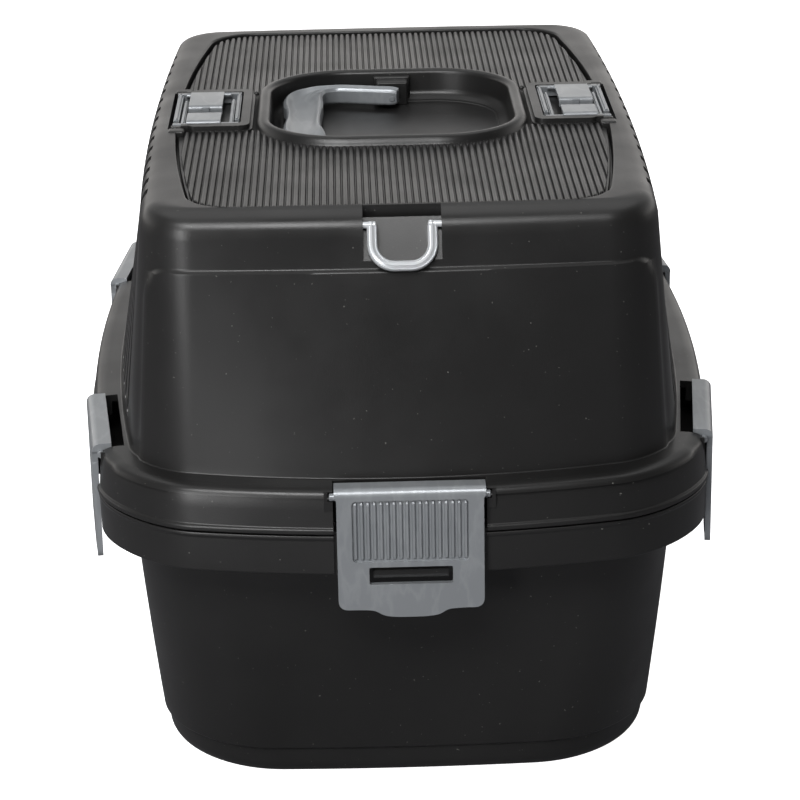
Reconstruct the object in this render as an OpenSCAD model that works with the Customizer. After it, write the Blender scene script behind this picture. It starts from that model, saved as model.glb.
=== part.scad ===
// Hard-shell pet carrier: tapered base tub, clipped-on top shell, ribbed roof door with a
// folding carry handle, side/rear swing clips, D-rings and a barred front door.
// Millimetres, +Z up, origin at the bottom centre of the tub, front door faces +Y.

/* [Rim] */
// half width of the rim outline before it bulges
rim_a = 139.8; // [120:0.1:160]
// half length of the rim outline before it bulges
rim_b = 220.2; // [180:0.1:260]
// corner radius of the rim outline
rim_r = 41.8; // [20:0.1:60]
// sideways bulge of the rim outline (share of half width)
bulge_x = 0.145; // [0:0.001:0.3]
// endways bulge of the rim outline (share of half length)
bulge_y = 0.098; // [0:0.001:0.3]
// height of the rim band's lower edge
z_band = 126; // [110:1:140]
// height of the parting line between tub and top shell
z_part = 146; // [130:1:160]
// height of the top of the rim
z_rim = 168; // [150:1:180]
// gap left at the parting line
part_gap = 0.4; // [0.2:0.1:1]
// shell wall thickness
wall = 3; // [2:0.1:5]

/* [Shell] */
// height of the roof border
z_roof = 292; // [270:1:320]
// half width of the shell just below the roof
top_a = 119; // [100:0.5:130]
// rear end of the shell just below the roof
top_rear = -210; // [-230:1:-190]
// front end of the shell just below the roof
top_front = 178; // [150:1:200]
// spacing of the upright vent slots in the side walls
vent_pitch = 19.4; // [15:0.1:22]

/* [Roof door] */
// half width of the ribbed panel before it bulges
panel_a = 95; // [80:0.5:110]
// half length of the ribbed panel
panel_b = 176.5; // [150:0.5:200]
// centre of the ribbed panel along Y
panel_y = -19; // [-40:0.5:10]
// rib spacing
rib_pitch = 3.3; // [2.5:0.05:5]
// centre of the handle well along Y
well_y = -17; // [-30:0.5:0]
// half width of the well's raised lip
well_a = 69; // [60:0.5:80]
// half length of the well's raised lip
well_b = 73; // [60:0.5:90]
// height of the well floor
z_well = 279.2; // [272:0.1:284]
// height of the well lip
z_lip = 295; // [293:0.5:300]

/* [Latches] */
// centre of the roof latches along Y
latch_y = -17; // [-30:0.5:0]
// height of the latch collars' top
z_collar = 293.4; // [293.2:0.1:297]
// distance of the roof latch bolts from the centre line
bolt_x = 110.5; // [100:0.1:116]
// height of the roof latch bolts
bolt_z = 290.5; // [289:0.1:292]
// travel of each roof latch slider
latch_travel = 3; // [1:0.5:4]

/* [Clips] */
// width of each swing clip
clip_w = 68; // [50:1:90]
// centre of the rear pair of side clips along Y
clip_y_rear = -143; // [-160:1:-120]
// centre of the front pair of side clips along Y
clip_y_front = 116; // [100:1:150]

/* [Front door] */
// half width of the doorway
door_a = 84; // [60:1:90]
// lower edge of the doorway
door_z0 = 44; // [30:1:60]
// upper edge of the doorway
door_z1 = 224; // [200:1:236]

/* [Hidden] */
$fn = 40;
ns = 8;
nt = 6;
na = 6;
np = 2 * (ns + nt) + 4 * na;
rim_y = rim_b * (1 + bulge_y);
z_hi = z_roof - 9;
z_pivot = 285;
rod_face = 231.5;
pin_v = -2.2;
z_pin = 165;
bolt_in = latch_travel - 0.5;

black = [0.055, 0.055, 0.058];
silver = [0.56, 0.57, 0.59];
steel = [0.6, 0.6, 0.62];

// ---- outline helpers: a rounded rectangle whose sides and ends bulge outwards
function seg(p, q, n) = [for (i = [0:n - 1]) p + (q - p) * i / n];
function arc(cx, cy, r, a0) = [for (i = [0:na - 1])
    [cx + r * cos(a0 + 90 * i / na), cy + r * sin(a0 + 90 * i / na)]];
function rrect(a, b, r) = concat(
    seg([a, -b + r], [a, b - r], ns), arc(a - r, b - r, r, 0),
    seg([a - r, b], [-a + r, b], nt), arc(-a + r, b - r, r, 90),
    seg([-a, b - r], [-a, -b + r], ns), arc(-a + r, -b + r, r, 180),
    seg([-a + r, -b], [a - r, -b], nt), arc(a - r, -b + r, r, 270));
function outline(a, b, r, kx, ky, yc) = [for (p = rrect(a, b, r))
    [p[0] * (1 + kx * (1 - pow(p[1] / b, 2))), yc + p[1] * (1 + ky * (1 - pow(p[0] / a, 2)))]];
// a level is [a, b, r, kx, ky, z, yc]
function level(v) = [for (p = outline(v[0], v[1], v[2], v[3], v[4], v[6])) [p[0], p[1], v[5]]];
function mix(a, b, t) = a + (b - a) * t;

// rim level pulled in by d; tub wall level pulled in by d; top shell wall level pulled in by d
function rim(d, z) = [rim_a - d, rim_b - d, rim_r - d, bulge_x, bulge_y, z, 0];
function tub(d, z) = let (t = (z - 16) / 110)
    [mix(121.2, 125.5, t) - d, mix(197.7, 204.5, t) - d, max(6, mix(54.8, 33, t) - d),
     mix(0.039, 0.14, t), mix(0.026, 0.095, t), z, 0];
function shell(d, z) = let (t = min(1.03, (z - z_rim) / (z_hi - z_rim)),
    ky = mix(bulge_y, 0.015, t), y0 = mix(-226.5, top_rear, t), y1 = mix(226.5, top_front, t))
    [mix(126.7, top_a, t) - d, (y1 - y0) / 2 / (1 + ky) - d, max(5, mix(27.4, 24, t) - d),
     mix(bulge_x, 0.05, t), ky, z, (y0 + y1) / 2];
function panel(d, z) = [panel_a - d, panel_b - d, 20 - d * 0.7, 0.15, 0, z, panel_y];

function ring_faces(k, m) = [for (j = [0:np - 1], f = [0:1])
    f == 0 ? [k * np + j, m * np + j, m * np + (j + 1) % np]
           : [k * np + j, m * np + (j + 1) % np, k * np + (j + 1) % np]];
module stack(v) {
    n = len(v);
    polyhedron(points = [for (l = v, p = level(l)) p],
        faces = concat([[for (j = [0:np - 1]) j]],
            [for (i = [0:n - 2], f = ring_faces(i, i + 1)) f],
            [[for (j = [np - 1:-1:0]) (n - 1) * np + j]]), convexity = 10);
}
module tube(v) {
    n = len(v);
    polyhedron(points = [for (l = v, p = level(l)) p],
        faces = [for (i = [0:n - 1], f = ring_faces(i, (i + 1) % n)) f], convexity = 10);
}
module box(x0, x1, y0, y1, z0, z1) {
    translate([x0, y0, z0]) cube([x1 - x0, y1 - y0, z1 - z0]);
}
module rod_x(x0, x1, y, z, r) {
    translate([x0, y, z]) rotate([0, 90, 0]) cylinder(r = r, h = x1 - x0);
}
module rod_y(x, y0, y1, z, r) {
    translate([x, y0, z]) rotate([-90, 0, 0]) cylinder(r = r, h = y1 - y0);
}
module rod_z(x, y, z0, z1, r) {
    translate([x, y, z0]) cylinder(r = r, h = z1 - z0);
}
module rounded_plate(a, b, r, z0, z1) {
    translate([0, 0, z0]) linear_extrude(z1 - z0) {
        square([2 * a, 2 * (b - r)], center = true);
        square([2 * (a - r), 2 * b], center = true);
        for (x = [-a + r, a - r], y = [-b + r, b - r]) translate([x, y]) circle(r = r);
    }
}
// coil along +Z: a six-sided wire, turns t, from z = 0 to z = h
module coil(r, w, t, h) {
    m = 12 * t;
    polyhedron(points = [for (i = [0:m], k = [0:5])
        [(r + w * cos(60 * k)) * cos(30 * i), (r + w * cos(60 * k)) * sin(30 * i),
         w + (h - 2 * w) * i / m + w * sin(60 * k)]],
        faces = concat([[5, 4, 3, 2, 1, 0]],
            [for (i = [0:m - 1], k = [0:5], f = [0:1])
                f == 0 ? [i * 6 + k, i * 6 + (k + 1) % 6, (i + 1) * 6 + (k + 1) % 6]
                       : [i * 6 + k, (i + 1) * 6 + (k + 1) % 6, (i + 1) * 6 + k]],
            [[for (k = [0:5]) m * 6 + k]]), convexity = 10);
}

// ---- swing clip frame: u along the rim, v outwards, the origin on the rim's outer edge
module at_clip(i) {
    if (i == 0) translate([1.5, -rim_y, 0]) rotate([0, 0, 180]) children();
    if (i == 1) translate([-151.5, clip_y_rear, 0]) rotate([0, 0, 96.8]) children();
    if (i == 2) translate([-154.5, clip_y_front, 0]) rotate([0, 0, 84.5]) children();
    if (i == 3) translate([151.5, clip_y_rear, 0]) rotate([0, 0, -96.8]) children();
    if (i == 4) translate([154.5, clip_y_front, 0]) rotate([0, 0, -84.5]) children();
}
module clip() {
    h = clip_w / 2;
    difference() {
        union() {
            box(-h - 1, h + 1, -10, -2, 169.2, 172);
            rod_x(-h - 1, h + 1, -2.2, 168, 4);
            box(-h, h, -0.6, 2.2, 115, 168);
            translate([0, -0.6, 0]) rotate([-90, 0, 0]) linear_extrude(2.8) polygon([
                [-h, -115], [-h + 3, -111], [-h + 8, -109.6], [-h + 18, -109.3],
                [-15, -107.6], [-8, -106.2], [0, -105.6], [8, -106.2], [15, -107.6],
                [h - 18, -109.3], [h - 8, -109.6], [h - 3, -111], [h, -115], [h, -116], [-h, -116]]);
            rod_x(-h - 3.2, h + 3.2, pin_v, z_pin, 1.8);
        }
        box(-19.4, 19.4, -5, 5, 122.3, 131);
        box(-27, 27, 1.4, 5, 133.5, 165);
    }
    for (i = [0:17]) box(-26 + i * 3, -24.6 + i * 3, 1.3, 2.1, 134, 164.5);
}
// room taken out of both rims for a clip and its swinging tail
module clip_pocket() {
    h = clip_w / 2 + 1.6;
    box(-h, h, -13.5, 20, 147.5, 180);
    box(-h, h, -2.6, 20, 100, 150);
    rod_x(-h - 2.4, h + 2.4, pin_v, z_pin, 2.2);
}
module clip_cheeks() {
    h = clip_w / 2 + 1.6;
    for (s = [-1, 1]) translate([s * (h + 2), -5.5, 158]) translate([-2, -5, 0])
        cube([4, 8.6, 9]);
}

module base_shell() {
    color(black) {
        difference() {
            union() {
                stack([
                    [112, 188, 50, 0.039, 0.026, 0, 0], [116.4, 193, 54, 0.039, 0.026, 1.6, 0],
                    [118.6, 195.2, 56, 0.039, 0.026, 5, 0], [119.4, 196, 55, 0.039, 0.026, 14.6, 0],
                    tub(0, 16.4), tub(0, 45), tub(0, 85), tub(0, z_part - 3.4),
                    rim(wall, z_part - 3.4), rim(wall, z_band), rim(0.4, z_band), rim(0, z_band + 1.5),
                    rim(0, z_part - 1.2), rim(0.9, z_part - part_gap / 2),
                    tub(wall, z_part - part_gap / 2), tub(wall, 85), tub(wall, 45), tub(wall, 18),
                    [114, 190, 48, 0.039, 0.026, 6, 0], [108, 184, 44, 0.039, 0.026, wall, 0]]);
                base_porch();
            }
            box(-door_a, door_a, 150, 260, door_z0, 200);
            for (i = [0:4]) at_clip(i) clip_pocket();
            box(-98, -door_a, 232, 260, 100, 200);
            box(door_a, 98, 232, 260, 100, 200);
            rod_z(-80, 227.5, door_z0 - 7, door_z0 + 1, 2.9);
            box(70.5, 77.5, 228.9, 240, door_z0 - 6, door_z0 + 1);
        }
        for (i = [0:4]) at_clip(i) clip_wall();
    }
}
// closing wall and catch behind each clip
module clip_wall() {
    h = clip_w / 2 + 1.6;
    box(-h - 2, h + 2, -6.2, -3.2, z_band, z_part - part_gap / 2);
    box(-17.5, 17.5, -4, -1.2, 124, 129);
}
// raised surround of the doorway, drawn once and shared out between tub and top shell
module porch(z0, z1) {
    intersection() {
        translate([0, 232, 132]) rotate([90, 0, 0]) rounded_plate(98, 108, 22, 0, 46);
        box(-110, 110, 180, 240, z0, z1);
    }
}
module base_porch() {
    difference() {
        porch(10, z_part - part_gap / 2);
        box(-110, 110, 150, 212, door_z0 - 6, 200);
        box(-110, 110, 150, 199, 0, 200);
    }
}

module top_shell() {
    color(black) {
        difference() {
            union() {
                difference() {
                    tube([
                        rim(0.4, z_part + part_gap / 2), rim(-0.9, z_part + 1), rim(-0.9, z_part + 3),
                        rim(0.3, z_part + 4.4), rim(1, z_part + 15), rim(2.6, z_rim - 1.8),
                        rim(5.5, z_rim - 0.2), shell(0, z_rim + 0.6), shell(0, 205), shell(0, 245),
                        shell(0, z_hi), shell(1.8, z_hi + 4.6), shell(5, z_hi + 7.6),
                        shell(9, z_hi + 9), panel(-1, z_hi + 8.6), panel(-1, 285.6),
                        panel(5, 285.6), panel(6.5, 283), shell(5.5, z_hi - 2), shell(wall, 272),
                        shell(wall, 245), shell(wall, 205), shell(wall, z_rim),
                        [126.7 - wall, 206.3 - wall, 27.4 - wall, bulge_x, bulge_y,
                         z_part + part_gap / 2, 0],
                        [126.7, 206.3, 27.4, bulge_x, bulge_y, z_part + part_gap / 2, 0],
                        [126.7, 206.3, 27.4, bulge_x, bulge_y, z_rim - 3, 0],
                        rim(wall + 2, z_rim - 3), rim(wall, z_part + 12), rim(wall, z_part + part_gap / 2)]);
                    box(-98, 98, 205, 260, 140, 200);
                }
                top_porch();
                for (i = [0:4]) at_clip(i) clip_cheeks();
                ring_pocket_block(-1);
                ring_pocket_block(1);
                for (s = [-1, 1]) latch_lugs(s);
            }
            box(-door_a, door_a, 150, 260, 140, door_z1);
            for (i = [0:4]) at_clip(i) clip_pocket();
            ring_recess(-1);
            ring_recess(1);
            for (s = [-1, 1]) latch_room(s);
            vents();
            rod_z(-80, 227.5, door_z1 - 1, door_z1 + 7, 2.9);
            box(70.5, 77.5, 228.9, 240, door_z1 - 1, door_z1 + 6);
        }
    }
}
module top_porch() {
    difference() {
        porch(z_part + part_gap / 2, 250);
        box(-110, 110, 150, 213, 140, door_z1);
        box(-110, 110, 150, 194, 140, 260);
    }
}
// D-ring pivots: s = -1 at the rear end, 1 at the front end; each ring leans on its sloping recess
function ring_y(s) = s < 0 ? -206.6 : 174.1;
function ring_lean(s) = s < 0 ? -20 : 32;
// local frame of a D-ring: the origin on its pivot, +Y into the shell, -Z down along the ring
module at_ring(s) {
    translate([0, ring_y(s), z_pivot]) rotate([ring_lean(s), 0, 0]) mirror([0, s < 0 ? 0 : 1, 0])
        children();
}
module ring_pocket_block(s) {
    at_ring(s) {
        box(-21.5, 21.5, 2.1, 5.4, -24, 4.4);
        for (x = [-21.5, 18.2]) box(x, x + 3.3, 0.6, 4.4, -14, 3.2);
    }
}
module ring_recess(s) {
    at_ring(s) {
        box(-18.7, 18.7, -30, 2.6, -30, 3.3);
        rod_x(-20.8, 20.8, 0, 0, 2);
    }
    y = ring_y(s);
    if (s < 0) box(-18.7, 18.7, y - 30, y + 1.4, z_pivot + 2.4, 320);
    if (s > 0) box(-18.7, 18.7, y - 1.4, y + 30, z_pivot + 2.4, 320);
}
module latch_lugs(s) {
    translate([0, latch_y, 0]) for (y = [[-44, -37], [37, 44]]) mirror([s < 0 ? 1 : 0, 0, 0])
        box(bolt_x - 5.2, bolt_x + 3.2, y[0], y[1], 284, bolt_z + 2.8);
}
module latch_room(s) {
    end = 38 + latch_travel;
    translate([0, latch_y, 0]) mirror([s < 0 ? 1 : 0, 0, 0]) {
        box(bolt_x - 12, bolt_x + 5, -37, 37, 280, 310);
        rod_y(bolt_x, -end, end, bolt_z, 1.9);
        if (s < 0) for (y = [[-end, -36], [36, end]])
            box(bolt_x - 1.9, bolt_x + 1.9, y[0], y[1], bolt_z, 310);
    }
}
module vents() {
    for (s = [-1, 1], i = [0:14]) {
        y = -157.5 + vent_pitch * i;
        box(s > 0 ? 106 : -160, s > 0 ? 160 : -106, y - 2.6, y + 2.6, 200, 262);
    }
}

module roof_door() {
    color(black) {
        difference() {
            union() {
                translate([0, 0, 286.6]) linear_extrude(2.9)
                    polygon(outline(panel_a, panel_b, 20, 0.15, 0, panel_y));
                intersection() {
                    translate([0, 0, 289]) linear_extrude(2.6)
                        polygon(outline(panel_a, panel_b, 20, 0.15, 0, panel_y));
                    translate([0, 190, 0]) rotate([90, 0, 0]) linear_extrude(420) rib_profile();
                }
                translate([0, well_y, 0]) rounded_plate(well_a, well_b, 46, 288, z_lip - 1.4);
                translate([0, well_y, 0]) rounded_plate(well_a - 1.6, well_b - 1.6, 44.4, 288, z_lip);
                translate([0, well_y, 0]) rounded_plate(well_a - 4, well_b - 5, 42, z_well - 2.5, 289);
                for (s = [0, 1]) mirror([s, 0, 0]) translate([0, latch_y, 0]) collar();
            }
            translate([0, well_y, 0]) rounded_plate(well_a - 6.5, well_b - 8, 39.5, z_well, 310);
            for (s = [0, 1]) mirror([s, 0, 0]) translate([0, latch_y, 0]) {
                box(77.4, bolt_x + 2, -32.6, 32.6, 287.4, 310);
                box(bolt_x + 0.2, 130, -45, 45, 280, 289.2);
                rod_y(bolt_x, -40, 40, bolt_z, 1.7);
                for (y = [-44.4, 36.6]) box(bolt_x - 5.9, 130, y, y + 7.8, 280, 310);
            }
        }
        // bearing blocks of the folding handle
        at_well() difference() {
            union() {
                box(-6.8, 10.2, 54.2, 67.2, -1, 11.9);
                box(-6.8, 10.2, -67.4, -61.4, -1, 9.9);
            }
            rod_y(1.5, -65.4, 62, 5.7, 1.9);
        }
    }
}
module rib_profile() {
    n = 66;
    for (i = [0:n - 1]) translate([(i - (n - 1) / 2) * rib_pitch, 0])
        polygon([[-1.2, 289], [1.2, 289], [0.7, 291.6], [-0.7, 291.6]]);
}
// local frame of the handle well: the origin in the middle of its floor
module at_well() {
    translate([0, well_y, z_well]) children();
}
// frame around one pair of roof latch sliders, centred on them along Y
module collar() {
    for (y = [-36, 32.4]) {
        box(73, bolt_x - 3, y, y + 3.6, 288, z_collar);
        box(bolt_x - 4, bolt_x + 2.2, y, y + 3.6, 288, bolt_z + 2.6);
    }
    box(72.5, 77.5, -34, 34, 288, z_collar);
    for (y = [-34, 34]) rod_z(74.5, y, 288, z_collar, 2);
}

module carry_handle() {
    color(silver) at_well() {
        difference() {
            translate([0, 0, 1.9]) linear_extrude(9.4) polygon([
                [4.6, 42], [4.6, 50.4], [-10, 53.8], [-24, 57.8], [-36, 57.6], [-46, 52],
                [-53, 42], [-56.5, 30], [-57, 16], [-55, 0], [-55.5, -16], [-56.5, -30],
                [-53, -44], [-46, -54], [-36, -59.4], [-24, -60.6], [-10, -60.6], [4.6, -60.6],
                [4.6, -53.8], [-10, -53.8], [-24, -52.6], [-31, -47], [-34.4, -38], [-34, -28],
                [-37.6, -14], [-38, -4], [-34, 8], [-32, 20], [-34, 34], [-37, 42],
                [-34, 47], [-26, 49], [-10, 45.4]]);
            translate([-45, 0, 19.5]) rotate([90, 0, 0]) cylinder(r = 12, h = 84, center = true);
            box(-2.6, 10, -65, 65, 9.5, 20);
            box(-70, 10, -70, -46, 9, 20);
        }
        rod_y(1.5, 42, 61, 5.7, 1.5);
        rod_y(1.5, -64.5, -54, 5.7, 1.5);
    }
}

module d_ring(s) {
    color(silver) at_ring(s) {
        difference() {
            union() {
                box(-16, 16, -2, 2, -8, 1.5);
                translate([0, 2, -8]) rotate([90, 0, 0]) linear_extrude(4) {
                    for (x = [-4, 4]) translate([x, 0]) circle(r = 12);
                    square([8, 24], center = true);
                }
            }
            box(-11.6, 11.6, -5, 5, -8.1, 15);
            translate([0, 5, -8]) rotate([90, 0, 0]) linear_extrude(10) {
                for (x = [-3.6, 3.6]) translate([x, 0]) circle(r = 8);
                square([7.2, 16], center = true);
            }
            box(-30, 30, -5, 5, 1.5, 15);
        }
        rod_x(-20.3, -11.6, 0, 0, 1.6);
        rod_x(11.6, 20.3, 0, 0, 1.6);
    }
}

// roof latch sliders, drawn for the right-hand side and centred along Y
module slider_far() {
    color(silver) translate([0, latch_y, 0]) {
        for (x = [78.2, 109]) box(x, x + 2, -21, 32, 288, 293);
        box(78.2, 111, 29, 32, 288, 293);
        difference() {
            union() {
                box(87.5, 105, -3, 30, 290.6, 295);
                rod_x(87.5, 105, -1, 292.8, 2.2);
                box(87.5, 105, -3.2, -1.4, 288.6, 293);
            }
            box(89, 103.5, -1.2, 29, 280, 293);
            box(92, 100, -10, 2, 280, 291.8);
        }
        rod_y(bolt_x, 29, 37 + bolt_in, bolt_z, 1.4);
    }
}
module slider_near() {
    color(silver) translate([0, latch_y, 0]) {
        for (x = [81.2, 106]) box(x, x + 2, -32, 21, 288, 292.4);
        box(81.2, 111, -32, -29, 288, 292.8);
        difference() {
            union() {
                box(87.5, 105, -30, -12.5, 290.6, 294);
                rod_x(87.5, 105, -29.5, 292, 2);
                box(87.5, 105, -13, -11, 288.6, 294);
            }
            box(89, 103.5, -29, -13, 280, 292.2);
            box(92, 100, -30, -8, 280, 291.8);
        }
        rod_y(bolt_x, -37 - bolt_in, -29, bolt_z, 1.4);
    }
}
module latch_spring() {
    color(steel) translate([96, latch_y - 21.5, 289.6]) rotate([-90, 0, 0]) coil(1.6, 0.35, 8, 39.5);
}

module front_door() {
    z0 = door_z0 + 1.6;
    z1 = door_z1 - 1.6;
    color(silver) {
        difference() {
            box(-82.5, 82.5, 224.5, 229.3, z0, z1);
            box(-75.5, 62, 220, 235, z0 + 8, z1 - 8);
            box(68, 80, 220, 235, z0 + 8, 108);
            box(68, 80, 220, 235, 160, z1 - 8);
        }
        for (i = [1:8]) rod_z(-75.5 + i * 137.5 / 9, 227, z0 + 7, z1 - 7, 1.9);
        for (z = [90, 134, 178]) box(-76, 63, 225.4, 228.6, z - 1.6, z + 1.6);
        rod_z(-80, 227.5, z0 - 6, z1 + 6, 2.4);
        // guides of the latch rods
        for (z = [z0 + 2, z1 - 6, 104, 160]) difference() {
            box(69.5, 78.5, 228, 234.6, z, z + 4);
            rod_z(74, rod_face, z - 1, z + 5, 2.2);
        }
    }
}
module door_slider(s) {
    z1 = door_z1;
    z0 = door_z0;
    color(silver) {
        if (s > 0) {
            rod_z(74, rod_face, 146, z1 + 3.6, 1.8);
            box(67.2, 80.6, 230.6, 241, 141, 150);
            box(67.2, 80.6, 230.6, 236, 139, 142);
        } else {
            rod_z(74, rod_face, z0 - 3.6, 122, 1.8);
            box(67.2, 80.6, 230.6, 241, 118, 127);
            box(67.2, 80.6, 230.6, 236, 126, 129);
        }
    }
}
module door_latch_spring() {
    color(steel) translate([74, 234, 134 - 4.4]) coil(2.2, 0.4, 4, 8.8);
}
module door_latch_cover() {
    color(silver) difference() {
        union() {
            box(64.4, 66.4, 229.3, 238, 113, 155);
            box(81.4, 82.8, 229.3, 238, 113, 155);
            box(64.4, 82.8, 229.3, 238, 111, 113.4);
            box(64.4, 82.8, 229.3, 238, 154.6, 157);
        }
        rod_z(74, rod_face, 105, 160, 2.2);
        box(71.8, 76.2, 228, rod_face, 105, 160);
    }
}

base_shell();
top_shell();
roof_door();
carry_handle();
color(silver) at_clip(0) clip();  // rear_clip
color(silver) at_clip(1) clip();  // clip_left_rear
color(silver) at_clip(2) clip();  // clip_left_front
color(silver) at_clip(3) clip();  // clip_right_rear
color(silver) at_clip(4) clip();  // clip_right_front
d_ring(-1);  // d_ring_rear
d_ring(1);  // d_ring_front
mirror([1, 0, 0]) slider_far();  // latch_left_far
mirror([1, 0, 0]) slider_near();  // latch_left_near
slider_far();  // latch_right_far
slider_near();  // latch_right_near
mirror([1, 0, 0]) latch_spring();  // latch_spring_left
latch_spring();  // latch_spring_right
front_door();
door_slider(1);  // door_latch_upper
door_slider(-1);  // door_latch_lower
door_latch_spring();
door_latch_cover();
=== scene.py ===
"""Looks of a hard-shell pet carrier: detailed shells, ribbed roof door, carry handle, clips, latches
and D-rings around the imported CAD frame. Lengths in the mesh code are millimetres."""
import math

import bmesh
import bpy
import numpy as np
from mathutils import Matrix, Vector


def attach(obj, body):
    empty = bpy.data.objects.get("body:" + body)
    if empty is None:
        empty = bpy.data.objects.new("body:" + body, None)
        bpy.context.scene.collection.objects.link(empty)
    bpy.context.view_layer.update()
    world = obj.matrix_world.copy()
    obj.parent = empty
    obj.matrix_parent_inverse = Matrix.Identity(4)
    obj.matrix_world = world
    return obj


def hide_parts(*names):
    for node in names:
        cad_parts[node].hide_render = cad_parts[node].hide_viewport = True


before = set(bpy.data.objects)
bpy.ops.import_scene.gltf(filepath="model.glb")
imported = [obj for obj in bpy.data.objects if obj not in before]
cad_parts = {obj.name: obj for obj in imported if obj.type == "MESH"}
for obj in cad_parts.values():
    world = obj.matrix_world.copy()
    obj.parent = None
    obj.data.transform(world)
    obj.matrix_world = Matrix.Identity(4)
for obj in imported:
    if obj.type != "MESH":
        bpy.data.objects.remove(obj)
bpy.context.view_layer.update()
MM = 0.001

# ---- driving dimensions, the same as the CAD frame's
RIM_A, RIM_B, RIM_R = 139.8, 220.2, 41.8       # rim outline before it bulges
RIM_KX, RIM_KY = 0.145, 0.098                  # its bulge sideways and endways
Z_BAND, Z_PART, Z_RIM = 126.0, 146.0, 168.0    # rim's lower edge, parting line, rim's top
Z_ROOF, Z_HI = 292.0, 283.0                    # roof border, top of the walls
GAP = 0.4                                      # parting gap
WALL = 3.0
PANEL_A, PANEL_B, PANEL_Y = 95.0, 176.5, -19.0 # ribbed roof panel
RIB_PITCH, RIBS = 3.3, 66
WELL_A, WELL_B, WELL_Y = 69.0, 73.0, -17.0     # raised lip of the handle well
Z_WELL, Z_LIP = 279.2, 295.0
LATCH_Y, Z_COLLAR = -17.0, 293.4               # centre of the roof latches, top of their collars
BOLT_X, BOLT_Z = 110.5, 290.5
CLIP_HALF = 34.0
PIN_V, PIN_Z = -2.2, 165.0                     # clip pins in the clip's own frame
RIM_END = RIM_B * (1 + RIM_KY)
Z_PIVOT = 285.0
RINGS = {  # body: (y of the pivot, lean in degrees, 1 where the ring's inner side faces +Y)
    "d_ring_rear": (-206.6, -28.0, 1),
    "d_ring_front": (174.1, 32.0, -1),
}
REAR_SHIFT = 0.8                               # the rear ring and its recess sit this far right of the middle
CLIPS = {  # body: (x, y, turn in degrees) of the clip's own frame
    "rear_clip": (1.5, -RIM_END, 180.0),
    "clip_left_rear": (-151.5, -143.0, 96.8),
    "clip_left_front": (-154.5, 116.0, 84.5),
    "clip_right_rear": (151.5, -143.0, -96.8),
    "clip_right_front": (154.5, 116.0, -84.5),
}
VENTS = [-157.5 + 19.4 * i for i in range(15)]
FLUTE = (4.2, 176, 291.5, 1.9, 1.2)            # half width, low and high end, depth, extra depth at the top
SLOT = (2.6, 200, 262, 30)                     # the open slot inside each flute


# ---- mesh helpers
def new_object(name, mesh):
    obj = bpy.data.objects.new(name, mesh)
    bpy.context.scene.collection.objects.link(obj)
    return obj


def solid(name, verts, faces):
    """A closed mesh object in millimetres, its faces turned outwards."""
    mesh = bpy.data.meshes.new(name)
    mesh.from_pydata([tuple(map(float, v)) for v in verts], [], faces)
    bm = bmesh.new()
    bm.from_mesh(mesh)
    bmesh.ops.recalc_face_normals(bm, faces=bm.faces)
    bm.to_mesh(mesh)
    bm.free()
    return new_object(name, mesh)


def apply_modifiers(obj):
    graph = bpy.context.evaluated_depsgraph_get()
    mesh = bpy.data.meshes.new_from_object(obj.evaluated_get(graph))
    obj.modifiers.clear()
    obj.data = mesh
    return obj


def combine(obj, others, how="DIFFERENCE"):
    """Cuts the others out of obj (or joins or intersects them), then removes them."""
    for other in others:
        step = obj.modifiers.new(how, "BOOLEAN")
        step.operation = how
        step.solver = "EXACT"
        step.object = other
    apply_modifiers(obj)
    for other in others:
        bpy.data.objects.remove(other)
    return obj


def merge(name, objs):
    """One object that holds all the meshes as separate islands."""
    bm = bmesh.new()
    for o in objs:
        bm.from_mesh(o.data)
        bpy.data.objects.remove(o)
    mesh = bpy.data.meshes.new(name)
    bm.to_mesh(mesh)
    bm.free()
    return new_object(name, mesh)


def round_edges(obj, width, steps=2, angle=40):
    bevel = obj.modifiers.new("edges", "BEVEL")
    bevel.width = width
    bevel.segments = steps
    bevel.limit_method = "ANGLE"
    bevel.angle_limit = math.radians(angle)
    bevel.use_clamp_overlap = True
    return apply_modifiers(obj)


def place(obj, matrix):
    obj.data.transform(matrix)
    return obj


def mirrored(obj):
    obj.data.transform(Matrix.Scale(-1, 4, (1, 0, 0)))
    obj.data.flip_normals()
    return obj


def piece(obj, name, material, body, nodes=(), sharp=38):
    """Scales a finished mesh to metres, shades it, gives it its material and its CAD body."""
    obj.name = name
    obj.data.name = name
    obj.data.transform(Matrix.Scale(MM, 4))
    for polygon in obj.data.polygons:
        polygon.use_smooth = True
    obj.data.set_sharp_from_angle(angle=math.radians(sharp))
    weights = obj.modifiers.new("normals", "WEIGHTED_NORMAL")
    weights.keep_sharp = True
    obj.data.materials.clear()
    obj.data.materials.append(material)
    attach(obj, body)
    if nodes:
        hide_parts(*nodes)
    return obj


def grid_faces(n_rings, n, wrap_rings, caps):
    faces = []
    for i in range(n_rings if wrap_rings else n_rings - 1):
        k, m = i * n, (i + 1) % n_rings * n
        faces += [(k + j, k + (j + 1) % n, m + (j + 1) % n, m + j) for j in range(n)]
    if caps:
        faces.append(tuple(range(n - 1, -1, -1)))
        faces.append(tuple((n_rings - 1) * n + j for j in range(n)))
    return faces


def prism(name, outline, low, high, along="z"):
    """Extrudes a 2D outline from low to high along an axis; (p, q) are the other two axes in order."""
    order = {"z": (0, 1, 2), "y": (0, 2, 1), "x": (2, 0, 1)}[along]
    verts = []
    for h in (low, high):
        for p, q in outline:
            point = (p, q, h)
            verts.append(tuple(point[order[i]] for i in range(3)))
    n = len(outline)
    return solid(name, verts, grid_faces(2, n, False, True))


def block(x0, x1, y0, y1, z0, z1, soft=0.0, steps=2):
    obj = prism("block", [(x0, y0), (x1, y0), (x1, y1), (x0, y1)], z0, z1)
    return round_edges(obj, soft, steps) if soft else obj


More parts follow.
